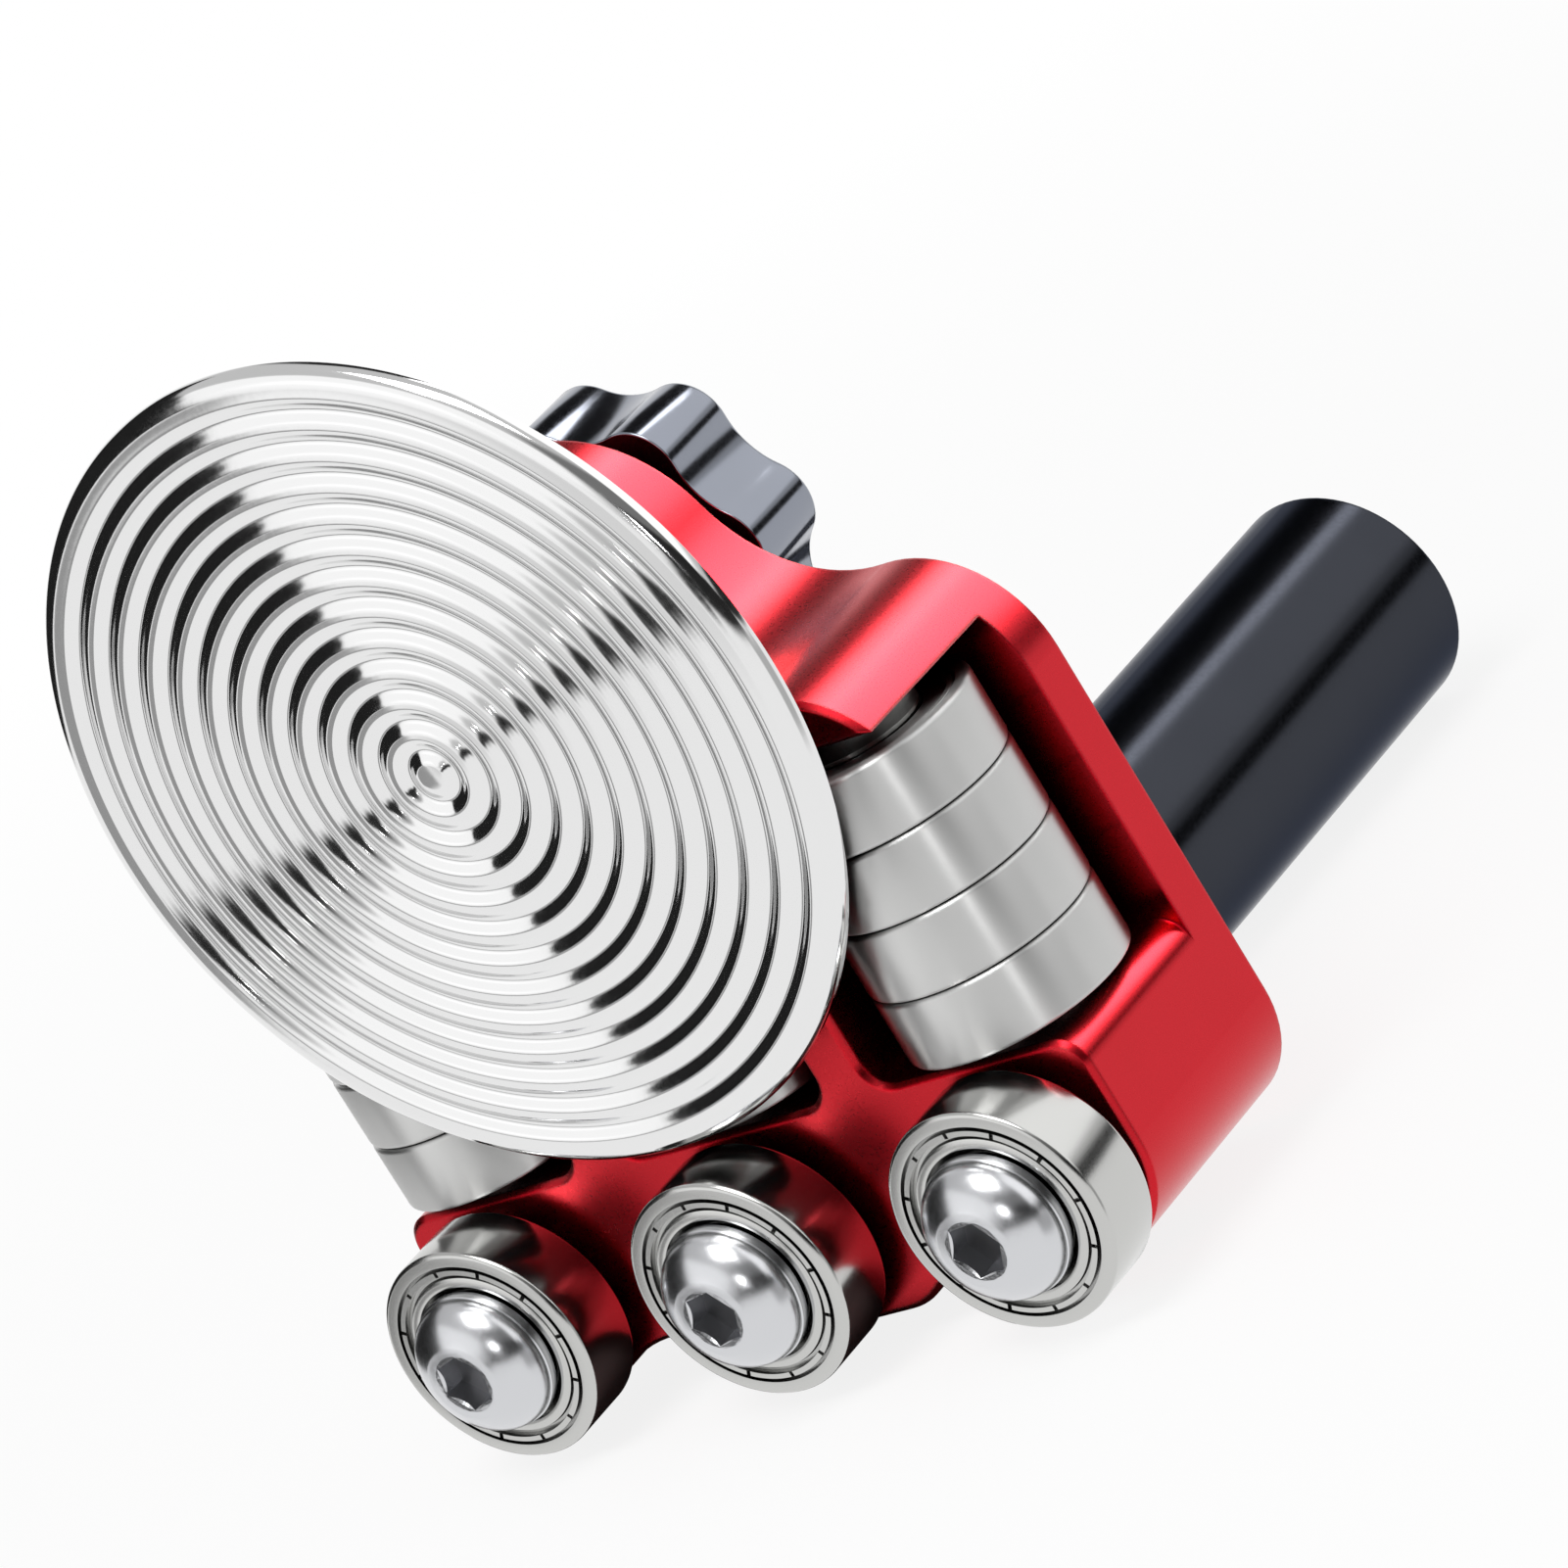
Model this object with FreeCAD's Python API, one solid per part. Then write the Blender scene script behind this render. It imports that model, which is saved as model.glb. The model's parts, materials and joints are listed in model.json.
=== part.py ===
import FreeCAD, Part
import math
import os

# Hand tool that folds the edge of sheet metal round a free-turning grooved disc.
# The sheet's flange runs between the disc and three stacks of roller bearings,
# and its face runs on three bearings along the foot. A knob behind sets the gap.
#
# Working axes: X along the row of bearings, Y backwards, Z up. Y = 0 is the plane
# of the disc's widest circle and the disc's axis is X = 0, Z = 0. The finished
# solids are then moved so that the origin is the bottom centre of the whole tool.

Vec = FreeCAD.Vector
ALONG_X = Vec(1, 0, 0)
ALONG_Y = Vec(0, 1, 0)
ALONG_Z = Vec(0, 0, 1)

# Ball bearings, all of the common 8 x 22 x 7 mm size
BEARING_R = 11.0
BEARING_BORE_R = 4.0
BEARING_WIDTH = 7.0
INNER_RACE_R = 6.05
SHIELD_GAP = 0.3             # air between the inner race and the shield
RING_LAND = 1.5              # face of the outer race beside its shield
SHIELD_DEPTH = 0.4           # shield behind the face of the race
RACE_GAP = 0.1               # air between neighbouring outer races
ROLLERS = 4                  # bearings in one stack

# Places of the bearings round the disc
ROW_PITCH = 31.45
CLOSED_GAP = 0.2             # disc to rollers when it is screwed right in
STACK_PAST_RIM = 1.15        # bottom of the stacks below the disc's rim
RIM_TO_FRONT_ROW = 2.34      # disc's rim to the middle front bearing
TOP_SPACER = 2.15
BOTTOM_WASHER = 1.25
FRONT_SPACER = 1.74

# Body block
ROLLERS_PROUD = 3.0          # rollers in front of the body's face
BODY_DEPTH = 24.5
HUMP_R = 15.5
SHOULDER_WALL = 5.6          # over the pockets
SHOULDER_FLAT = 0.4          # between the hump's fillet and the corner's round
SHOULDER_CORNER_R = 12.0
FOOT_CORNER_R = 10.2
FOOT_FLAT_HALF = 8.0
FOOT_MIDDLE_R = 8.0
WAIST_R = 14.0
EDGE_CHAMFER = 0.5
POCKET_CORNER_R = 2.75
POCKET_LIP_R = 3.0
POCKET_BACK_CLEAR = 0.4      # roller to the back wall
POCKET_SIDE_CLEAR = 2.25     # roller to the inner wall of a side pocket
MIDDLE_POCKET_CLEAR = 1.7    # roller to the walls of the middle pocket
AXLE_SOCKET = 2.4            # blind hole above each stack
AXLE_WAY_CLEAR = 0.5         # round the axle in the mouth where it goes in

# Disc
DISC_R = 40.0
DISC_BORDER = 2.5            # from the last ridge to the widest circle
DISC_FACE = 1.5              # front face before the widest circle
DISC_EDGE_R = 1.2            # roundness of the edge before the widest circle
EDGE_STEPS = 4
DISC_RIM = 0.1               # straight rim behind the widest circle
DISC_BACK_CHAMFER = 1.2
BEADS = 12                   # ridges turned in the front face, one groove to each
BEAD_TOP = 1.5               # width of a ridge between its two slopes
BEAD_DEPTH = 0.5             # from the top of a ridge to the groove beside it
CENTRE_R = 0.96              # from the disc's axis to the middle of the first ridge
HUB_R = 7.5
HUB_LENGTH = 6.0
HUB_CLEAR = 1.0              # round the hub, in the body's recess
HUB_END_CLEAR = 0.6          # behind the hub when it is screwed right in

# Spindle, its head and its drive
SPINDLE_R = 4.0
HEAD_R = 5.5
HEAD_THICK = 2.0
THRUST_WASHER = 0.5
SPINDLE_SET_BACK = 1.6       # end of the spindle inside the knob
TRAVEL_IN = 1.1              # disc towards the rollers
TRAVEL_OUT = 2.0             # disc away from the rollers
KEY_SCREW_R = 2.0
KEY_SCREW_IN = 4.5           # from the pocket's back wall
KEY_DEPTH = 1.1
KEY_SPARE = 0.2              # keyway past each end of the travel

# Adjusting nut, its ring and the knob
NUT_FLANGE_R = 8.6
NUT_FLANGE = 3.0
NUT_NECK_R = 6.0
NUT_RECESS = 5.0
RING_THICK = 1.0
RING_BITE = 0.7              # depth of the ring's groove in the body
RING_WIDTH = 2.2
RING_OPENING = 6.0
KNOB_GAP = 2.1
KNOB_THICK = 9.3
KNOB_LOBES = 7
KNOB_LOBE_R = 15.8           # reach of a lobe
KNOB_WAVE = 2.2              # depth of a valley
KNOB_TIP_R = 4.4             # roundness of a lobe
KNOB_PHASE = 48.5            # degrees from X towards Z
KNOB_EDGE = 0.6
SET_SCREW_R = 2.0
SET_SCREW_LENGTH = 5.0
SET_SCREW_VALLEY = 3         # valleys past the first one, with the knob as drawn

# Handle
HANDLE_R = 12.0
HANDLE_DROP = 0.96           # below the front bearings' axes
HANDLE_LENGTH = 85.9
HANDLE_EDGE = 0.6
STUD_R = 4.0
STUD_IN_BODY = 11.1
STUD_IN_HANDLE = 20.0

# Front screws, button heads with a hexagon socket; the shank fills the bearing's bore
SCREW_LENGTH = 20.0
SCREW_HEAD_R = 7.0
SCREW_HEAD = 4.4
SCREW_HEAD_FLAT_R = 3.7      # flat round the socket
SCREW_HEAD_SLOPE_R = 6.15    # where the dome grows steep
SCREW_HEAD_SLOPE = 1.6       # and how far that is below the flat
SCREW_HEAD_RIM = 0.8
HEX_ACROSS = 5.0
HEX_DEPTH = 2.6

# Fits
SLIP = 0.02                  # radial, between pieces that stay together
RUN = 0.05                   # radial, between pieces that move

# Depths that follow from those above, from the disc back to the handle's end
disc_back_y = DISC_RIM + DISC_BACK_CHAMFER
head_front_y = disc_back_y + THRUST_WASHER
head_back_y = head_front_y + HEAD_THICK
hub_back_y = disc_back_y + HUB_LENGTH
recess_floor_y = hub_back_y + TRAVEL_IN + HUB_END_CLEAR
roller_front_y = disc_back_y + TRAVEL_IN + CLOSED_GAP
stack_y = roller_front_y + BEARING_R
pocket_back_y = stack_y + BEARING_R + POCKET_BACK_CLEAR
key_screw_y = pocket_back_y - KEY_SCREW_IN
body_front_y = roller_front_y + ROLLERS_PROUD
body_back_y = body_front_y + BODY_DEPTH
race_back_y = body_front_y - FRONT_SPACER
race_front_y = race_back_y - BEARING_WIDTH
screw_tip_y = race_front_y + SCREW_LENGTH
nut_front_y = body_back_y - NUT_RECESS
ring_front_y = nut_front_y + NUT_FLANGE + 2 * RUN
knob_front_y = body_back_y + KNOB_GAP
knob_back_y = knob_front_y + KNOB_THICK
spindle_end_y = knob_back_y - SPINDLE_SET_BACK
handle_end_y = body_back_y + HANDLE_LENGTH

# Heights, from the disc's rim
stack_bottom_z = -DISC_R - STACK_PAST_RIM
stack_top_z = stack_bottom_z + ROLLERS * BEARING_WIDTH
pocket_top_z = stack_top_z + TOP_SPACER
pocket_floor_z = stack_bottom_z - BOTTOM_WASHER
shoulder_z = pocket_top_z + SHOULDER_WALL
front_row_z = -DISC_R - RIM_TO_FRONT_ROW - BEARING_R
foot_z = front_row_z - FOOT_CORNER_R
axle_foot_z = front_row_z + BEARING_BORE_R + SLIP
handle_z = front_row_z - HANDLE_DROP

# Widths and radii
half_width = ROW_PITCH + FOOT_CORNER_R
side_pocket_x = ROW_PITCH - BEARING_R - POCKET_SIDE_CLEAR
middle_pocket_x = BEARING_R + MIDDLE_POCKET_CLEAR
shield_bore_r = INNER_RACE_R + SHIELD_GAP
axle_way_r = BEARING_BORE_R + AXLE_WAY_CLEAR
face_r = DISC_R - DISC_BORDER
bead_pitch = (face_r - CENTRE_R) / BEADS
knob_valley_r = KNOB_LOBE_R - KNOB_WAVE
stack_xs = {"left": -ROW_PITCH, "middle": 0.0, "right": ROW_PITCH}


def at(x, z):
    """A point of an outline drawn in the XZ plane."""
    return Vec(x, 0, z)


def arc(start, middle, end):
    return Part.Arc(start, middle, end).toShape()


def line(start, end):
    return Part.LineSegment(start, end).toShape()


def on_circle(centre, radius, degrees):
    """Point on a circle in the XZ plane, with the angle from X towards Z."""
    turn = math.radians(degrees)
    return at(centre.x + radius * math.cos(turn), centre.z + radius * math.sin(turn))


def heading(start, end):
    """Angle from X towards Z of the way between two points."""
    return math.degrees(math.atan2(end.z - start.z, end.x - start.x))


def round_arc(centre, radius, first, last):
    """Arc about a centre between two angles."""
    middle = (first + last) / 2
    return arc(on_circle(centre, radius, first), on_circle(centre, radius, middle),
               on_circle(centre, radius, last))


def extrude(edges, y_low, y_high):
    """Solid from a closed outline in the XZ plane, between two depths."""
    face = Part.Face(Part.Wire(edges))
    face.translate(Vec(0, y_low, 0))
    return face.extrude(Vec(0, y_high - y_low, 0))


def rod_y(radius, y_low, y_high, x=0.0, z=0.0):
    return Part.makeCylinder(radius, y_high - y_low, Vec(x, y_low, z), ALONG_Y)


def rod_z(radius, z_low, z_high, x, y):
    return Part.makeCylinder(radius, z_high - z_low, Vec(x, y, z_low), ALONG_Z)


def ring_y(outer, inner, y_low, y_high, x=0.0, z=0.0):
    return rod_y(outer, y_low, y_high, x, z).cut(rod_y(inner, y_low, y_high, x, z))


def ring_z(outer, inner, z_low, z_high, x, y):
    return rod_z(outer, z_low, z_high, x, y).cut(rod_z(inner, z_low, z_high, x, y))


def turned(profile, x=0.0, z=0.0):
    """Solid of revolution about a Y axis from (radius, y) corners."""
    corners = [Vec(radius, y, 0) for radius, y in profile]
    face = Part.Face(Part.makePolygon(corners + corners[:1]))
    solid = face.revolve(Vec(0, 0, 0), ALONG_Y, 360)
    solid.translate(Vec(x, 0, z))
    return solid


def touching_centre(centre_a, reach_a, centre_b, reach_b):
    """Lower of the two points that lie at the given distances from two centres."""
    gap = centre_b.sub(centre_a)
    along = (gap.Length ** 2 + reach_a ** 2 - reach_b ** 2) / (2 * gap.Length)
    aside = math.sqrt(reach_a ** 2 - along ** 2)
    unit = Vec(gap.x / gap.Length, 0, gap.z / gap.Length)
    foot = centre_a.add(unit * along)
    side = Vec(unit.z, 0, -unit.x) * aside
    low, high = foot.add(side), foot.sub(side)
    return low if low.z < high.z else high


def mirrored(edges):
    """Outline edges of the right half with their copies on the left."""
    copies = [edge.mirror(Vec(0, 0, 0), ALONG_X) for edge in edges]
    return edges + copies


def body_outline():
    """Front view of the block: hump, shoulders, straight sides and waisted foot."""
    hump = at(0, 0)
    corner = at(half_width - SHOULDER_CORNER_R, shoulder_z - SHOULDER_CORNER_R)
    # The fillet touches the hump, and the shoulder's flat just before the corner
    fillet_x = corner.x - SHOULDER_FLAT
    fillet_r = (fillet_x ** 2 + shoulder_z ** 2 - HUMP_R ** 2) / (2 * (HUMP_R - shoulder_z))
    fillet = at(fillet_x, shoulder_z + fillet_r)
    meet = heading(hump, fillet)
    foot = at(ROW_PITCH, front_row_z)
    middle = at(FOOT_FLAT_HALF, foot_z + FOOT_MIDDLE_R)
    waist = touching_centre(foot, FOOT_CORNER_R + WAIST_R, middle, FOOT_MIDDLE_R + WAIST_R)
    to_waist = heading(foot, waist)
    from_waist = heading(middle, waist)
    return mirrored([
        round_arc(hump, HUMP_R, 90, meet),
        round_arc(fillet, fillet_r, meet - 180, -90),
        line(on_circle(fillet, fillet_r, -90), on_circle(corner, SHOULDER_CORNER_R, 90)),
        round_arc(corner, SHOULDER_CORNER_R, 90, 0),
        line(on_circle(corner, SHOULDER_CORNER_R, 0), on_circle(foot, FOOT_CORNER_R, 0)),
        round_arc(foot, FOOT_CORNER_R, 0, to_waist),
        round_arc(waist, WAIST_R, to_waist + 180, from_waist + 180),
        round_arc(middle, FOOT_MIDDLE_R, from_waist, -90),
        line(on_circle(middle, FOOT_MIDDLE_R, -90), at(0, foot_z)),
    ])


def side_pocket():
    """Pocket open to the front and to the right, with a rounded lip at its floor."""
    inner = side_pocket_x + POCKET_CORNER_R
    low = at(inner, pocket_floor_z + POCKET_CORNER_R)
    high = at(inner, pocket_top_z - POCKET_CORNER_R)
    lip = at(half_width - POCKET_LIP_R, pocket_floor_z - POCKET_LIP_R)
    out_x = half_width + POCKET_LIP_R
    return extrude([
        round_arc(high, POCKET_CORNER_R, 180, 90),
        line(on_circle(high, POCKET_CORNER_R, 90), at(out_x, pocket_top_z)),
        line(at(out_x, pocket_top_z), at(out_x, lip.z)),
        line(at(out_x, lip.z), on_circle(lip, POCKET_LIP_R, 0)),
        round_arc(lip, POCKET_LIP_R, 0, 90),
        line(on_circle(lip, POCKET_LIP_R, 90), on_circle(low, POCKET_CORNER_R, -90)),
        round_arc(low, POCKET_CORNER_R, -90, -180),
        line(on_circle(low, POCKET_CORNER_R, 180), on_circle(high, POCKET_CORNER_R, 180)),
    ], body_front_y, pocket_back_y)


def middle_pocket():
    """Pocket open to the front only."""
    inner = middle_pocket_x - POCKET_CORNER_R
    low = at(inner, pocket_floor_z + POCKET_CORNER_R)
    high = at(inner, pocket_top_z - POCKET_CORNER_R)
    return extrude(mirrored([
        line(at(0, pocket_top_z), on_circle(high, POCKET_CORNER_R, 90)),
        round_arc(high, POCKET_CORNER_R, 90, 0),
        line(on_circle(high, POCKET_CORNER_R, 0), on_circle(low, POCKET_CORNER_R, 0)),
        round_arc(low, POCKET_CORNER_R, 0, -90),
        line(on_circle(low, POCKET_CORNER_R, -90), at(0, pocket_floor_z)),
    ]), body_front_y, pocket_back_y)


def at_depth(edge, y):
    """True for an edge that lies in the plane at depth y."""
    box = edge.BoundBox
    return abs(box.YMin - y) < 1e-6 and abs(box.YMax - y) < 1e-6


def body_block():
    block = extrude(body_outline(), body_front_y, body_back_y)
    right = side_pocket()
    left = right.mirror(Vec(0, 0, 0), ALONG_X)
    block = block.cut([right, left, middle_pocket()])
    rims = [e for e in block.Edges if at_depth(e, body_front_y) or at_depth(e, body_back_y)]
    block = block.makeChamfer(EDGE_CHAMFER, rims)

    holes = [
        rod_y(SPINDLE_R + RUN, body_front_y, body_back_y),
        rod_y(HUB_R + HUB_CLEAR, body_front_y, recess_floor_y),
        rod_y(NUT_FLANGE_R + RUN, nut_front_y, body_back_y),
        rod_y(NUT_FLANGE_R + RUN + RING_BITE, ring_front_y, ring_front_y + RING_THICK + SLIP),
        rod_z(KEY_SCREW_R + SLIP, pocket_top_z, 0, 0, key_screw_y),
        rod_y(STUD_R + SLIP, body_back_y - STUD_IN_BODY - SLIP, body_back_y, z=handle_z),
    ]
    for x in stack_xs.values():
        holes.append(rod_z(BEARING_BORE_R + SLIP, axle_foot_z, pocket_top_z + AXLE_SOCKET, x, stack_y))
        holes.append(rod_z(axle_way_r, foot_z, axle_foot_z, x, stack_y))
        holes.append(rod_y(BEARING_BORE_R + SLIP, body_front_y, screw_tip_y + SLIP, x, front_row_z))
    return block.cut(holes).Solids[0]


def roller_axles():
    """Plain pins put in from below, each held up by the front screw that crosses its foot."""
    top_z = pocket_top_z + AXLE_SOCKET - SLIP
    return [rod_z(BEARING_BORE_R, axle_foot_z, top_z, x, stack_y) for x in stack_xs.values()]


def on_each_axle(outer, z_low, z_high):
    """A ring on each roller axle."""
    inner = BEARING_BORE_R + SLIP
    return [ring_z(outer, inner, z_low, z_high, x, stack_y) for x in stack_xs.values()]


def roller_race(x, place):
    """Turning outer race of one roller bearing, with its shields; place 0 is the top one."""
    top_z = stack_top_z - place * BEARING_WIDTH - RACE_GAP / 2
    return ring_z(BEARING_R, shield_bore_r, top_z - BEARING_WIDTH + RACE_GAP, top_z, x, stack_y)


def front_race(x):
    """Turning outer race of a front bearing, with its front shield set back in the ring."""
    shield_y = race_front_y + SHIELD_DEPTH
    return turned([
        (shield_bore_r, shield_y),
        (BEARING_R - RING_LAND, shield_y),
        (BEARING_R - RING_LAND, race_front_y),
        (BEARING_R, race_front_y),
        (BEARING_R, race_back_y),
        (shield_bore_r, race_back_y),
    ], x, front_row_z)


def front_rings(y_low, y_high):
    """A ring on the shank of each front screw."""
    inner = BEARING_BORE_R + SLIP
    return [ring_y(INNER_RACE_R, inner, y_low, y_high, x, front_row_z) for x in stack_xs.values()]


def front_screw(x):
    """Button-head screw with a hexagon socket."""
    top_y = race_front_y - SCREW_HEAD
    screw = turned([
        (0, top_y),
        (SCREW_HEAD_FLAT_R, top_y),
        (SCREW_HEAD_SLOPE_R, top_y + SCREW_HEAD_SLOPE),
        (SCREW_HEAD_R, race_front_y - SCREW_HEAD_RIM),
        (SCREW_HEAD_R, race_front_y),
        (BEARING_BORE_R, race_front_y),
        (BEARING_BORE_R, screw_tip_y),
        (0, screw_tip_y),
    ], x, front_row_z)
    corner_r = HEX_ACROSS / math.sqrt(3)
    corners = [on_circle(at(x, front_row_z), corner_r, 60 * k) for k in range(7)]
    socket = extrude([Part.makePolygon(corners)], top_y, top_y + HEX_DEPTH)
    return screw.cut(socket)


def disc_profile():
    """Half section of the disc as (radius, y) corners: beaded face, rounded edge, flat back."""
    face_y = -DISC_FACE
    slope = (bead_pitch - BEAD_TOP) / 2
    corners = [(0, face_y)]
    for k in range(BEADS):
        groove_r = CENTRE_R + (k + 0.5) * bead_pitch
        corners += [
            (groove_r - slope, face_y),
            (groove_r, face_y + BEAD_DEPTH),
            (groove_r + slope, face_y),
        ]
    corners.append((face_r, face_y))
    for k in range(EDGE_STEPS + 1):
        turn = math.radians(90 * k / EDGE_STEPS)
        corners.append((DISC_R - DISC_EDGE_R * (1 - math.sin(turn)), -DISC_EDGE_R * math.cos(turn)))
    return corners + [
        (DISC_R, DISC_RIM),
        (DISC_R - DISC_BACK_CHAMFER, disc_back_y),
        (0, disc_back_y),
    ]


def disc_spindle():
    """Round bar with a head in the disc's hub, a keyway below and a screw thread behind."""
    bar = rod_y(HEAD_R, head_front_y, head_back_y)
    bar = bar.fuse(rod_y(SPINDLE_R, head_back_y, spindle_end_y))
    half = KEY_SCREW_R + RUN
    slot_low = key_screw_y - half - TRAVEL_IN - KEY_SPARE
    slot_high = key_screw_y + half + TRAVEL_OUT + KEY_SPARE
    slot = Part.makeBox(2 * half, slot_high - slot_low, KEY_DEPTH, Vec(-half, slot_low, -SPINDLE_R))
    return bar.cut(slot).removeSplitter().Solids[0]


def key_screw():
    """Grub screw whose tip stands in the spindle's keyway."""
    return rod_z(KEY_SCREW_R, pocket_top_z, -SPINDLE_R + KEY_DEPTH - RUN, 0, key_screw_y)


def adjusting_nut():
    """Flanged nut on the spindle's thread, held in the body by the retaining ring."""
    return turned([
        (SPINDLE_R + RUN, nut_front_y + RUN),
        (NUT_FLANGE_R, nut_front_y + RUN),
        (NUT_FLANGE_R, nut_front_y + RUN + NUT_FLANGE),
        (NUT_NECK_R, nut_front_y + RUN + NUT_FLANGE),
        (NUT_NECK_R, knob_back_y),
        (SPINDLE_R + RUN, knob_back_y),
    ])


def retaining_ring():
    """Open spring ring in the groove behind the nut's flange."""
    outer = NUT_FLANGE_R + RUN + RING_BITE - SLIP
    ring = ring_y(outer, outer - RING_WIDTH, ring_front_y, ring_front_y + RING_THICK)
    gap = Part.makeBox(RING_OPENING, RING_THICK, outer, Vec(-RING_OPENING / 2, ring_front_y, 0))
    return ring.cut(gap).Solids[0]


def knob_outline():
    """Star of round lobes joined by round valleys that touch them."""
    step = 360 / KNOB_LOBES
    centre_r = KNOB_LOBE_R - KNOB_TIP_R
    half = math.radians(step / 2)
    across = centre_r * math.sin(half)
    along = centre_r * math.cos(half)
    # The valley's arc touches two lobes and reaches in to the valley's radius
    reach = knob_valley_r - along
    valley_r = (across ** 2 + reach ** 2 - KNOB_TIP_R ** 2) / (2 * (KNOB_TIP_R - reach))
    valley_at = knob_valley_r + valley_r
    edges = []
    for k in range(KNOB_LOBES):
        angle = KNOB_PHASE + k * step
        lobe = on_circle(at(0, 0), centre_r, angle)
        before = on_circle(at(0, 0), valley_at, angle - step / 2)
        after = on_circle(at(0, 0), valley_at, angle + step / 2)
        spread = (heading(lobe, after) - angle + 180) % 360 - 180
        edges.append(round_arc(lobe, KNOB_TIP_R, angle - spread, angle + spread))
        meet = on_circle(lobe, KNOB_TIP_R, angle + spread)
        following = on_circle(at(0, 0), centre_r, angle + step)
        leave = on_circle(following, KNOB_TIP_R, angle + step - spread)
        edges.append(arc(meet, on_circle(at(0, 0), knob_valley_r, angle + step / 2), leave))
    return edges


def set_screw_way(radius, inner_r, outer_r):
    """Rod that points out through a valley of the knob, at the middle of its thickness."""
    angle = math.radians(KNOB_PHASE + (SET_SCREW_VALLEY + 0.5) * 360 / KNOB_LOBES)
    way = Vec(math.cos(angle), 0, math.sin(angle))
    start = way * inner_r
    start.y = (knob_front_y + knob_back_y) / 2
    return Part.makeCylinder(radius, outer_r - inner_r, start, way)


def star_knob():
    knob = extrude(knob_outline(), knob_front_y, knob_back_y)
    rims = [e for e in knob.Edges if at_depth(e, knob_back_y)]
    knob = knob.makeChamfer(KNOB_EDGE, rims)
    bore = rod_y(NUT_NECK_R + SLIP, knob_front_y, knob_back_y)
    screw_hole = set_screw_way(SET_SCREW_R + SLIP, NUT_NECK_R - SLIP, KNOB_LOBE_R)
    return knob.cut([bore, screw_hole])


def knob_set_screw():
    return set_screw_way(SET_SCREW_R, NUT_NECK_R + SLIP, NUT_NECK_R + SLIP + SET_SCREW_LENGTH)


def handle():
    """Plain round bar with eased ends and a blind hole for the stud."""
    bar = rod_y(HANDLE_R, body_back_y, handle_end_y, z=handle_z)
    end = [e for e in bar.Edges if at_depth(e, handle_end_y)]
    bar = bar.makeChamfer(HANDLE_EDGE, end)
    return bar.cut(rod_y(STUD_R + SLIP, body_back_y, body_back_y + STUD_IN_HANDLE + SLIP, z=handle_z))


def handle_stud():
    return rod_y(STUD_R, body_back_y - STUD_IN_BODY, body_back_y + STUD_IN_HANDLE, z=handle_z)


def build():
    """Every piece by name, in the working axes."""
    pieces = {
        "body_block": [body_block()],
        "roller_axles": roller_axles(),
        "roller_inner_races": on_each_axle(INNER_RACE_R, stack_bottom_z, stack_top_z),
        "stack_top_spacers": on_each_axle(INNER_RACE_R, stack_top_z, pocket_top_z),
        "stack_bottom_washers": on_each_axle(INNER_RACE_R, pocket_floor_z, stack_bottom_z),
        "front_screws": [front_screw(x) for x in stack_xs.values()],
        "front_inner_races": front_rings(race_front_y, race_back_y),
        "front_spacers": front_rings(race_back_y, body_front_y),
        "grooved_disc": [turned(disc_profile())],
        "disc_hub": [ring_y(HUB_R, HEAD_R + RUN, disc_back_y, hub_back_y)],
        "disc_bush": [ring_y(HEAD_R + RUN - SLIP, SPINDLE_R + RUN, head_back_y + RUN, hub_back_y)],
        "thrust_washer": [rod_y(HEAD_R, disc_back_y, head_front_y - SLIP)],
        "disc_spindle": [disc_spindle()],
        "spindle_key_screw": [key_screw()],
        "adjusting_nut": [adjusting_nut()],
        "retaining_ring": [retaining_ring()],
        "star_knob": [star_knob()],
        "knob_set_screw": [knob_set_screw()],
        "handle": [handle()],
        "handle_stud": [handle_stud()],
    }
    for side, x in stack_xs.items():
        pieces[side + "_front_race"] = [front_race(x)]
        for place in range(ROLLERS):
            name = side + "_roller_" + str(place + 1)
            pieces[name] = [roller_race(x, place)]
    return pieces


def save(pieces):
    """Writes each piece with the origin at the bottom centre of the whole tool."""
    os.makedirs("parts", exist_ok=True)
    whole = Part.makeCompound([solid for solids in pieces.values() for solid in solids])
    box = whole.BoundBox
    shift = Vec(-box.Center.x, -box.Center.y, -box.ZMin)
    for name, solids in pieces.items():
        shape = solids[0] if len(solids) == 1 else Part.makeCompound(solids)
        shape.translate(shift)
        shape.exportStep("parts/" + name + ".step")


save(build())
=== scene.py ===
import bmesh
import bpy
import json
import math
from mathutils import Matrix, Vector

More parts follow.
